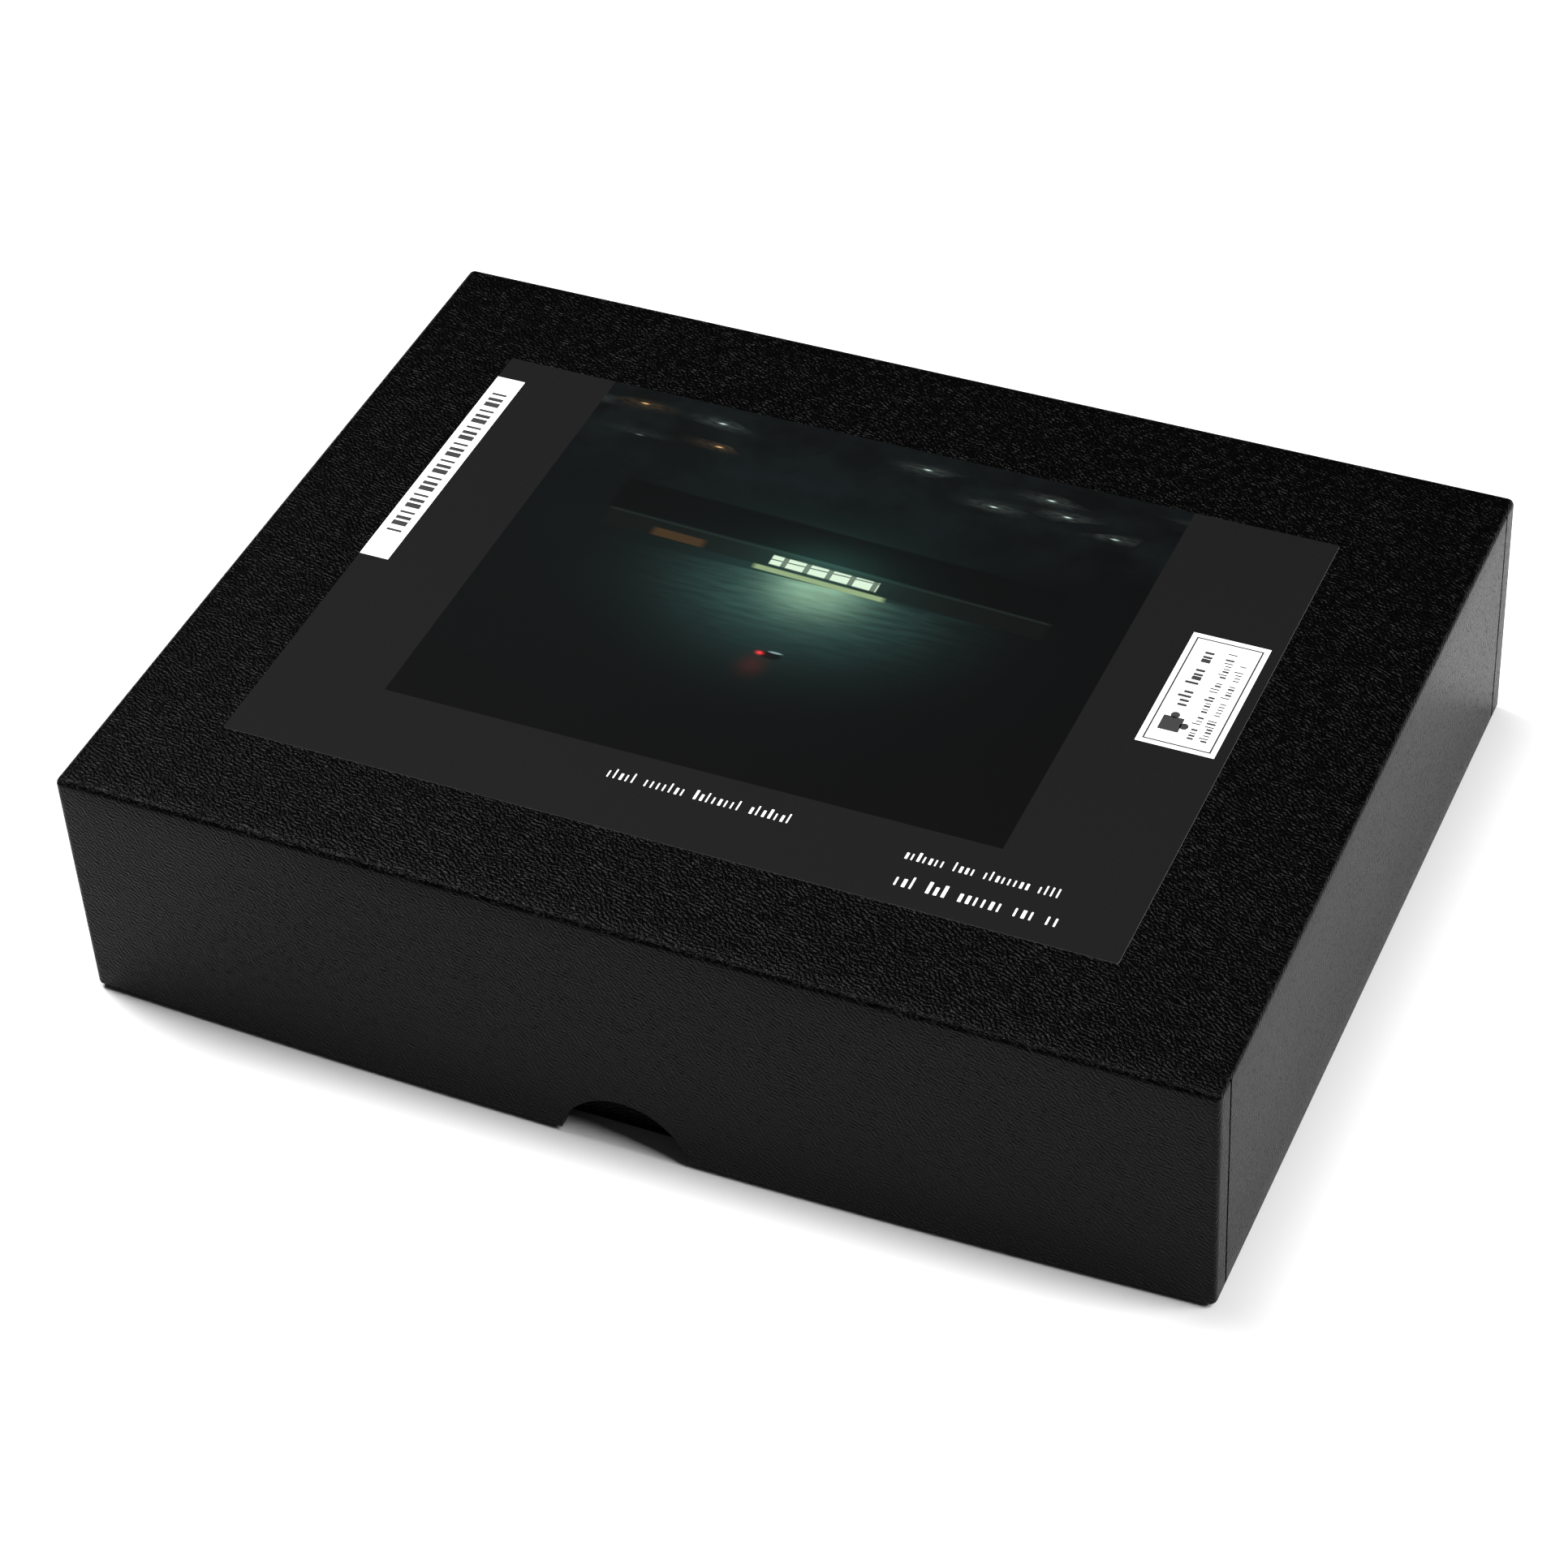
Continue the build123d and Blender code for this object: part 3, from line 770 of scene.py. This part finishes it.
    def open_up(self, piece: bpy.types.Object) -> None:
        """Take away the pocket's floor, and the window in the closed side, to leave one open sheet."""
        floor_z = self.open_z - self.up * self.turn_in
        edge_x = self.length / 2 - self.window
        edge_y = self.width / 2 - self.window
        with Editing(piece) as edit:
            edit.faces(lambda place, _: abs(place.z - floor_z) < CLOSE and not self.outside(place))
            bpy.ops.mesh.delete(type="FACE")
            if self.window:
                edit.faces(
                    lambda place, _: abs(place.z - self.closed_z) < CLOSE
                    and abs(place.x) < edge_x and abs(place.y) < edge_y
                )
                bpy.ops.mesh.delete(type="FACE")

    def swell(self, x: float, z: float) -> float:
        """Return how far a long wall stands out at (x, z)."""
        flat = self.length / 2 - self.corner
        share = (z - self.closed_z) / (self.open_z - self.closed_z)
        return self.bow * max(0.0, 1.0 - (x / flat) ** 2) * share

    def shape_walls(self, piece: bpy.types.Object) -> None:
        """Swell the long walls outward, and ripple the sheet a little where the glue pulled it."""
        inner = self.width / 2 - self.wall - self.corner
        for vertex in piece.data.vertices:
            place = vertex.co
            wave = noise.noise(place * 22.0) + 0.5 * noise.noise(place * 61.0 + Vector((3.0, 7.0, 1.0)))
            edge = min(1.0, abs(place.z - self.open_z) / (12 * MM))
            push = wave * self.ripple * edge
            if abs(place.z - self.closed_z) < CLOSE:
                place.z -= abs(push) * 0.5 * -self.up
            elif abs(abs(place.y) - self.width / 2) < CLOSE:
                place.y += push
            elif abs(abs(place.x) - self.length / 2) < CLOSE:
                place.x += push
            if abs(place.y) > inner:
                place.y += math.copysign(self.swell(place.x, place.z), place.y)

    def unfold(self, piece: bpy.types.Object) -> None:
        """Lay out the sheet UV map as the flat sheet was before it was folded, in millimetres."""
        mesh = piece.data
        clear_maps(mesh)
        sheet = mesh.uv_layers.new(name="sheet").data
        for face in mesh.polygons:
            end = abs(face.normal.x) > 0.75
            outward = face.center.x * face.normal.x if end else face.center.y * face.normal.y
            inward = outward < 0 and abs(face.normal.z) < 0.5
            for loop in face.loop_indices:
                place = mesh.vertices[mesh.loops[loop].vertex_index].co
                fallen = abs(place.z - self.closed_z)
                if inward:
                    fallen = 2 * abs(self.open_z - self.closed_z) - fallen
                if end:
                    spot = (math.copysign(abs(place.x) + fallen, place.x), place.y)
                else:
                    spot = (place.x, math.copysign(abs(place.y) + fallen, place.y))
                sheet[loop].uv = (spot[0] / MM, spot[1] / MM)

    def darken_joints(self, piece: bpy.types.Object) -> None:
        """Give the narrow joint beside each end flap the finish of a deep gap."""
        flap = self.width / 2 - self.seam
        for face in piece.data.polygons:
            on_end = abs(face.center.x) > self.length / 2 - MM and abs(face.normal.z) < 0.5
            if on_end and flap - self.seam_gap < abs(face.center.y) < flap:
                face.material_index = JOINT_SLOT

    def build(self) -> bpy.types.Object:
        """Return the finished sheet, riding on its body in place of its CAD node."""
        piece = self.block_with_pocket()
        self.round_edges(piece)
        self.cut_grid(piece)
        if self.notch_radius:
            self.cut_notch(piece)
        self.open_up(piece)
        self.shape_walls(piece)
        self.unfold(piece)
        modify(piece, "SOLIDIFY", thickness=self.paper, offset=-1.0, use_rim=True)
        smooth(piece)
        paint(piece, Stock.LEATHER, Stock.JOINT)
        self.darken_joints(piece)
        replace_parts(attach(piece, self.body), self.node)
        report(piece, "one sheet of leather paper, folded and turned in")
        return piece


# ---- label


@dataclass
class Rectangle:
    """An upright rectangle on the lid, in metres from the lid's middle."""

    left: float
    front: float
    right: float
    back: float

    def holds(self, place: Vector) -> bool:
        """Return whether a point lies inside."""
        return self.left < place.x < self.right and self.front < place.y < self.back


@dataclass
class Label:
    """The printed label: a picture, a strip of bars, a small notice panel and greeked lines."""

    picture: Rectangle = field(default_factory=lambda: Rectangle(
        -77.2 * MM, -47.9 * MM, 65.4 * MM, 68.75 * MM))
    strip: Rectangle = field(default_factory=lambda: Rectangle(
        -104.2 * MM, -8.25 * MM, -97.1 * MM, 61.15 * MM))
    panel: Rectangle = field(default_factory=lambda: Rectangle(
        78.9 * MM, -7.0 * MM, 96.45 * MM, 30.1 * MM))
    corner: float = 0.6 * MM
    ink: float = 0.012 * MM
    bars: int = 25
    bar_widths: tuple = (0.32, 0.72, 0.5)  # as shares of the step from bar to bar
    margin_lines: tuple = (  # x, y, length, height and stroke, in millimetres
        (-20.4, -56.4, 41.5, 2.9, 0.36), (47.6, -57.6, 33.5, 2.7, 0.36), (48.4, -65.6, 36.0, 3.5, 0.46)
    )
    panel_lines: tuple = (  # the same, from the panel's front left corner
        (3.6, 13.5, 19.0, 3.0, 0.75), (9.4, 4.0, 29.0, 2.0, 0.34), (12.4, 4.0, 26.5, 2.0, 0.34)
    )
    seed: int = 7

    def sheet(self) -> bpy.types.Object:
        """Return the label paper, its top cut into the areas that are printed differently."""
        low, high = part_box("lid_label")
        piece = block("label_sheet", low, high)
        half = (high - low) / 2
        with Editing(piece, "EDGE") as edit:
            edit.edges(lambda _, way: abs(way.z) > 0.9)
            bpy.ops.mesh.bevel(offset=self.corner, segments=5, affect="EDGES")
            edit.edges(lambda place, way: abs(place.z - high.z) < CLOSE / 4 and abs(way.z) < 0.1)
            bpy.ops.mesh.bevel(offset=half.z * 0.4, segments=2, affect="EDGES")
        inner = (self.picture, self.strip, self.panel)
        rows = {edge for area in inner for edge in (area.front, area.back)}
        columns = {edge for area in inner for edge in (area.left, area.right)}
        with Editing(piece) as edit:
            edit.slices(0, sorted(columns))
            edit.slices(1, sorted(rows))
        paint(piece, Stock.GROUND, Stock.PICTURE, Stock.WHITE, Stock.LABEL_EDGE)
        _, picture_slot, white_slot, edge_slot = range(4)
        for face in piece.data.polygons:
            if face.normal.z < 0.5:
                face.material_index = edge_slot
            elif self.picture.holds(face.center):
                face.material_index = picture_slot
            elif self.strip.holds(face.center) or self.panel.holds(face.center):
                face.material_index = white_slot
        self.map_picture(piece)
        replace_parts(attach(piece, "lid"), "lid_label")
        report(piece, "label paper with its printed areas")
        return piece

    def map_picture(self, piece: bpy.types.Object) -> None:
        """Lay the print UV map so that the picture runs from 0 to 1 each way."""
        mesh = piece.data
        clear_maps(mesh)
        printed = mesh.uv_layers.new(name="print").data
        wide = self.picture.right - self.picture.left
        deep = self.picture.back - self.picture.front
        for loop in mesh.loops:
            place = mesh.vertices[loop.vertex_index].co
            printed[loop.index].uv = (
                (place.x - self.picture.left) / wide, (place.y - self.picture.front) / deep
            )

    def mark(self, area: Rectangle, round_off: float = 0.0) -> bpy.types.Object:
        """Return one thin printed mark that covers an area of the label."""
        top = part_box("lid_label")[1].z
        low = (area.left, area.front, top - self.ink)
        piece = block("mark", low, (area.right, area.back, top + self.ink))
        if round_off:
            with Editing(piece, "EDGE") as edit:
                edit.edges(lambda _, way: abs(way.z) > 0.9)
                bpy.ops.mesh.bevel(offset=round_off, segments=3, affect="EDGES")
        return piece

    def dress(self, name: str, marks: list[bpy.types.Object], stock: Stock, what: str) -> None:
        """Join marks into one printed piece on the lid."""
        piece = joined(name, marks)
        paint(piece, stock)
        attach(piece, "lid")
        report(piece, what)

    def ticks(
        self, rng: random.Random, start: tuple[float, float], length: float, tall: float, stroke: float,
        upward: bool = False,
    ) -> list[bpy.types.Object]:
        """Return a greeked line: groups of plain upright strokes that spell nothing.

        Args:
            rng: The source of the groups' lengths.
            start: Where the line starts, in metres from the lid's middle.
            length: How long the line is.
            tall: The strokes' full height.
            stroke: The strokes' width.
            upward: Whether the line runs towards the back instead of to the right.

        Returns:
            One mark for each stroke.
        """
        (x, y), marks, run = start, [], 0.0
        while run < length - stroke:
            for _ in range(rng.randint(3, 8)):
                high = tall * rng.choice((0.7, 0.7, 1.0))
                stop = min(run + stroke * rng.choice((1.0, 1.0, 1.7)), length)
                if upward:
                    area = Rectangle(x + tall - high, y + run, x + tall, y + stop)
                else:
                    area = Rectangle(x + run, y, x + stop, y + high)
                marks.append(self.mark(area, stroke * 0.3))
                run += tall * 0.48
                if run > length - stroke:
                    break
            run += tall * 0.55
        return marks

    def lines(self) -> None:
        """Print the greeked lines in the front margin."""
        rng = random.Random(self.seed)
        marks = []
        for x, y, length, tall, stroke in self.margin_lines:
            marks += self.ticks(rng, (x * MM, y * MM), length * MM, tall * MM, stroke * MM)
        self.dress("label_lines", marks, Stock.PALE, "greeked lines")

    def strip_bars(self) -> None:
        """Print evenly stepped bars, which encode nothing, on the strip."""
        area = self.strip
        start, stop = area.front + 9.5 * MM, area.back - 4.5 * MM
        step = (stop - start) / self.bars
        marks = []
        for index in range(self.bars):
            thick = step * self.bar_widths[index % len(self.bar_widths)]
            y = start + index * step
            marks.append(self.mark(Rectangle(area.left + 1.7 * MM, y, area.right - 1.7 * MM, y + thick)))
        self.dress("strip_bars", marks, Stock.INK, "plain bars")

    def panel_marks(self) -> None:
        """Print the notice panel's double frame, a small puzzle-piece sign and greeked lines."""
        area = self.panel
        rng = random.Random(self.seed + 1)
        edge, thin = 1.2 * MM, 0.38 * MM
        left, right = area.left + edge, area.right - edge
        front, back = area.front + edge, area.back - edge
        marks = [
            self.mark(Rectangle(left, front, right, front + thin)),
            self.mark(Rectangle(left, back - thin, right, back)),
            self.mark(Rectangle(left, front + thin, left + thin, back - thin)),
            self.mark(Rectangle(right - thin, front + thin, right, back - thin)),
            self.sign(Vector((area.left + 5.4 * MM, area.front + 7.4 * MM, 0))),
        ]
        for x, y, length, tall, stroke in self.panel_lines:
            start = (area.left + x * MM, area.front + y * MM)
            marks += self.ticks(rng, start, length * MM, tall * MM, stroke * MM, True)
        self.dress("panel_marks", marks, Stock.INK, "frame, sign and greeked lines")

    def sign(self, centre: Vector) -> bpy.types.Object:
        """Return a small puzzle-piece sign: a square with two round tabs."""
        half, knob = 2.3 * MM, 1.0 * MM
        x, y, reach = centre.x, centre.y, half + knob * 0.6
        round_off = knob * 0.95
        parts = ((x, y, half, 0.2 * MM), (x + reach, y, knob, round_off), (x, y + reach, knob, round_off))
        return joined("sign", [
            self.mark(Rectangle(x - size, y - size, x + size, y + size), corner)
            for x, y, size, corner in parts
        ])

    def build(self) -> None:
        """Build the label paper and everything printed on it."""
        self.sheet()
        self.lines()
        self.strip_bars()
        self.panel_marks()


# ---- pieces and bag


PRINT_SLOT, BACK_SLOT, BOARD_SLOT = range(3)


@dataclass
class PuzzleRow:
    """One row of the cut sheet, its pieces lying loose where they came to rest."""

    number: int
    rows: int = 20
    columns: int = 26
    piece_x: float = 508.0 / 26 * MM
    piece_y: float = 406.4 / 20 * MM
    flat_enough: float = 27.0  # degrees between faces that are made one

    @property
    def node(self) -> str:
        """Return the CAD node's name."""
        return f"puzzle_row_{self.number:02d}"

    def copy(self) -> bpy.types.Object:
        """Return a merged copy of the row's CAD mesh with each flat side as one face."""
        source = frame["nodes"][self.node]
        mesh = source.data.copy()
        piece = bpy.data.objects.new(f"loose_row_{self.number:02d}", mesh)
        mesh.name = piece.name
        bpy.context.scene.collection.objects.link(piece)
        with Editing(piece) as edit:
            edit.all()
            bpy.ops.mesh.remove_doubles(threshold=CLOSE)
            bpy.ops.mesh.dissolve_limited(angle_limit=math.radians(self.flat_enough))
        return piece

    def islands(self, work: bmesh.types.BMesh) -> list[list[bmesh.types.BMFace]]:
        """Return the faces of each loose piece."""
        found, seen = [], set()
        for start in work.faces:
            if start.index in seen:
                continue
            seen.add(start.index)
            group, heap = [], [start]
            while heap:
                face = heap.pop()
                group.append(face)
                for edge in face.edges:
                    for near in edge.link_faces:
                        if near.index not in seen:
                            seen.add(near.index)
                            heap.append(near)
            found.append(group)
        return found

    def print_piece(self, group: list, column: int, face_up: bool, layer: object) -> None:
        """Give one piece its printed face, its back and its board edges."""
        caps = sorted(group, key=lambda face: face.calc_area())[-2:]
        caps.sort(key=lambda face: face.normal.z)
        front = caps[1] if face_up else caps[0]
        longest = max(front.edges, key=lambda edge: edge.calc_length())
        along = (longest.verts[1].co - longest.verts[0].co).normalized()
        across = front.normal.cross(along)
        centre = sum((v.co for v in front.verts), Vector()) / len(front.verts)
        for face in group:
            face.material_index = BOARD_SLOT
            for loop in face.loops:
                offset = loop.vert.co - centre
                u = (column + 0.5 + offset.dot(along) / self.piece_x) / self.columns
                v = 1.0 - (self.number - 0.5 - offset.dot(across) / self.piece_y) / self.rows
                loop[layer].uv = (u, v)
        caps[0].material_index = caps[1].material_index = BACK_SLOT
        front.material_index = PRINT_SLOT

    def build(self) -> bpy.types.Object:
        """Return the finished row, riding with the bag in place of its CAD node."""
        piece = self.copy()
        rng = random.Random(self.number)
        work = bmesh.new()
        work.from_mesh(piece.data)
        work.faces.ensure_lookup_table()
        layer = work.loops.layers.uv.new("print")
        groups = self.islands(work)
        order = list(range(self.columns))
        rng.shuffle(order)
        for group, column in zip(groups, order):
            self.print_piece(group, column, rng.random() < 0.5, layer)
        work.to_mesh(piece.data)
        work.free()
        smooth(piece, 40.0)
        paint(piece, Stock.PIECE_PRINT, Stock.PIECE_BACK, Stock.PIECE_BOARD)
        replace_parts(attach(piece, "bag"), self.node)
        report(piece, f"{len(groups)} loose pieces")
        return piece


@dataclass
class PieceBag:
    """Clear film bag, slack over the loose pieces, with its long seal folded flat on top."""

    edge: float = 9.0 * MM
    pitch: float = 3.4 * MM
    film: float = 0.07 * MM
    side_slack: float = 0.9 * MM
    top_slack: float = 2.4 * MM
    headroom: float = 1.4 * MM  # from the CAD bag's top down to the flat film
    seal_width: float = 12.0 * MM
    seal_inset: float = 16.0 * MM
    low: Vector = field(default_factory=lambda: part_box("piece_bag")[0])
    high: Vector = field(default_factory=lambda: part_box("piece_bag")[1])

    def crease(self, place: Vector) -> float:
        """Return the height of the film's folds at a place, between 0 and about 1."""
        folds = abs(noise.noise(Vector((place.x * 34.0, place.y * 60.0, place.z * 30.0))))
        small = abs(noise.noise(place * 120.0 + Vector((5.0, 1.0, 9.0))))
        broad = noise.noise(place * 14.0 + Vector((1.0, 4.0, 2.0))) * 0.5 + 0.5
        return min(1.0, broad * 0.55 + (1.0 - 3.0 * min(folds, 0.33)) * 0.32 + (1.0 - small) * 0.13)

    def lift(self, place: Vector, normal: Vector) -> Vector:
        """Return where a point of the filled bag goes when the film hangs slack and creased."""
        if place.z - self.low.z < 1.0 * MM:
            return place.copy()
        share = (place.z - self.low.z) / (self.high.z - self.low.z)
        fold = self.crease(place)
        flat = Vector((normal.x, normal.y, 0.0))
        rise = (fold - 0.35) * self.top_slack * max(0.0, normal.z)
        return place + flat * (fold * self.side_slack * share) + Vector((0.0, 0.0, rise))

    def build_film(self) -> bpy.types.Object:
        """Return the bag's film."""
        low, high = self.low, self.high
        piece = block("bag_film", low, (high.x, high.y, high.z - self.headroom))
        with Editing(piece, "EDGE") as edit:
            edit.edges(lambda _, way: abs(way.z) > 0.9)
            bpy.ops.mesh.bevel(offset=16.0 * MM, segments=8, affect="EDGES")
            edit.edges(lambda place, way: abs(way.z) < 0.1 and abs(place.z - low.z) < CLOSE)
            bpy.ops.mesh.bevel(offset=self.edge, segments=6, affect="EDGES")
            top = high.z - self.headroom
            edit.edges(lambda place, way: abs(way.z) < 0.1 and abs(place.z - top) < CLOSE)
            bpy.ops.mesh.bevel(offset=self.edge, segments=6, affect="EDGES")
        with Editing(piece) as edit:
            edit.slices(0, spread(low.x, high.x, self.pitch))
            edit.slices(1, spread(low.y, high.y, self.pitch))
            edit.slices(2, spread(low.z + self.edge, high.z - self.edge, self.pitch))
            edit.all()
            bpy.ops.mesh.remove_doubles(threshold=CLOSE)
        mesh = piece.data
        moved = [self.lift(v.co, v.normal) for v in mesh.vertices]
        for vertex, place in zip(mesh.vertices, moved):
            vertex.co = place
        modify(piece, "SOLIDIFY", thickness=self.film, offset=-1.0)
        smooth(piece, 60.0)
        paint(piece, Stock.FILM)
        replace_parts(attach(piece, "bag"), "piece_bag")
        report(piece, "creased clear film")
        return piece

    def build_seal(self) -> bpy.types.Object:
        """Return the long crimped seal that lies on the bag."""
        top = self.high.z - self.headroom
        half_x = self.high.x - self.seal_inset
        bpy.ops.object.select_all(action="DESELECT")
        bpy.ops.mesh.primitive_grid_add(
            x_subdivisions=150, y_subdivisions=8, size=1.0, location=(0, self.seal_width / 2, 0)
        )
        piece = bpy.context.active_object
        piece.scale = (2 * half_x, self.seal_width, 1.0)
        piece.name = piece.data.name = "bag_seal"
        settle_place(piece)
        for vertex in piece.data.vertices:
            place = vertex.co
            under = self.lift(Vector((place.x, place.y, top)), Vector((0, 0, 1))).z
            share = place.y / self.seal_width
            crimp = 0.06 * MM * math.sin(place.y / (0.45 * MM))
            wave = noise.noise(Vector((place.x * 45.0, 3.0, 0.0))) * 0.5 * MM * share
            place.z = under + 0.2 * MM + abs(wave) + crimp
        modify(piece, "SOLIDIFY", thickness=self.film, offset=0.0)
        smooth(piece, 60.0)
        paint(piece, Stock.FILM)
        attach(piece, "bag")
        report(piece, "crimped seal")
        return piece

    def build(self) -> None:
        """Build the film and its seal."""
        self.build_film()
        self.build_seal()


# ---- box and studio


def lid_wrap() -> Wrap:
    """Return the lid's wrap, sized from its CAD node."""
    low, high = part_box("lid_wrap")
    return Wrap(
        "lid_leather_wrap", "lid_wrap", "lid", high.x - low.x, 197.0 * MM, high.z, low.z,
        corner=1.6 * MM, fold=1.5 * MM, turn_in=15.0 * MM, bow=2.7 * MM,
        notch_radius=15.0 * MM, notch_z=-1.55 * MM, seam=6.0 * MM,
    )


def tray_wrap() -> Wrap:
    """Return the tray's wrap, sized from its CAD node."""
    low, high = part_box("tray_wrap")
    return Wrap(
        "tray_leather_wrap", "tray_wrap", "tray", high.x - low.x, high.y - low.y, low.z, high.z,
        corner=1.5 * MM, fold=0.5 * MM, turn_in=18.0 * MM, window=15.0 * MM, ripple=0.02 * MM,
        rim=0.8 * MM, seam=6.0 * MM,
    )


class BoardSet:
    """The board and paper pieces whose CAD shape stays."""

    FINISHES = {
        "lid_board": Stock.GREYBOARD,
        "tray_board": Stock.GREYBOARD,
        "lid_corner_stays": Stock.KRAFT,
        "tray_corner_stays": Stock.KRAFT,
        "tray_bottom_paper": Stock.BASE_PAPER,
    }

    def build(self) -> None:
        """Give each CAD piece its board or paper."""
        for node, stock in self.FINISHES.items():
            piece = frame["nodes"][node]
            for slot in piece.material_slots:
                slot.material = stock.material()
            report(piece, stock.value.name)


@dataclass
class Studio:
    """Pale floor, soft lights and the camera."""

    azimuth: float = 26.18
    elevation: float = 42.08
    roll: float = -3.81
    distance: float = 897.5 * MM
    aim: tuple[float, float, float] = (15.5 * MM, -45.4 * MM, 61.5 * MM)
    lens: float = 98.93
    sensor: float = 36.0
    sky_strength: float = 0.03
    lamps: tuple = (  # name, place, size and power
        ("left_softbox", (-0.75, 0.14, 1.2), 0.42, 20.5),
        ("top_softbox", (-0.1, 0.10, 1.5), 0.45, 11.6),
        ("right_softbox", (0.85, -0.05, 1.0), 0.7, 17.0),
    )

    def floor(self) -> None:
        """Lay the floor under the box."""
        bpy.ops.object.select_all(action="DESELECT")
        bpy.ops.mesh.primitive_grid_add(x_subdivisions=8, y_subdivisions=8, size=8.0)
        piece = bpy.context.active_object
        piece.name = piece.data.name = "studio_floor"
        paint(piece, Stock.FLOOR)

    def light(self, name: str, place: Sequence[float], size: float, power: float) -> None:
        """Hang a square soft light that faces the box."""
        lamp = bpy.data.lights.new(name, "AREA")
        lamp.shape = "SQUARE"
        lamp.size, lamp.energy = size, power
        held = bpy.data.objects.new(name, lamp)
        held.location = place
        held.rotation_mode = "QUATERNION"
        held.rotation_quaternion = (-Vector(place)).to_track_quat("-Z", "Y")
        bpy.context.scene.collection.objects.link(held)

    def camera(self) -> None:
        """Place the camera on its sight line, rolled a little."""
        turn, rise = math.radians(self.azimuth), math.radians(self.elevation)
        back = Vector((
            math.sin(turn) * math.cos(rise), -math.cos(turn) * math.cos(rise), math.sin(rise)
        ))
        level = Vector((math.cos(turn), math.sin(turn), 0.0))
        lean = Matrix.Rotation(-math.radians(self.roll), 3, -back)
        right = lean @ level
        upward = back.cross(right)
        eye = bpy.data.objects.new("camera", bpy.data.cameras.new("camera"))
        eye.data.lens, eye.data.sensor_width = self.lens, self.sensor
        eye.data.clip_start, eye.data.clip_end = 0.01, 50.0
        place = Vector(self.aim) + back * self.distance
        eye.matrix_world = Matrix.Translation(place) @ Matrix((right, upward, back)).transposed().to_4x4()
        bpy.context.scene.collection.objects.link(eye)
        bpy.context.scene.camera = eye

    def sky(self) -> None:
        """Fill the studio with a little even light."""
        world = bpy.data.worlds.new("studio")
        world.use_nodes = True
        inputs = world.node_tree.nodes["Background"].inputs
        inputs["Color"].default_value = (1.0, 1.0, 1.0, 1.0)
        inputs["Strength"].default_value = self.sky_strength
        bpy.context.scene.world = world

    def build(self) -> None:
        """Set up the whole studio."""
        self.floor()
        for lamp in self.lamps:
            self.light(*lamp)
        self.sky()
        self.camera()
        bpy.context.scene.view_settings.view_transform = "Standard"


def main() -> None:
    """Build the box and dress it."""
    logging.basicConfig(level=logging.INFO, format="%(name)s: %(message)s")
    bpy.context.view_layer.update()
    BoardSet().build()
    lid_wrap().build()
    tray_wrap().build()
    Label().build()
    for number in range(1, PuzzleRow.rows + 1):
        PuzzleRow(number).build()
    PieceBag().build()
    Studio().build()


if __name__ == "__main__":
    main()
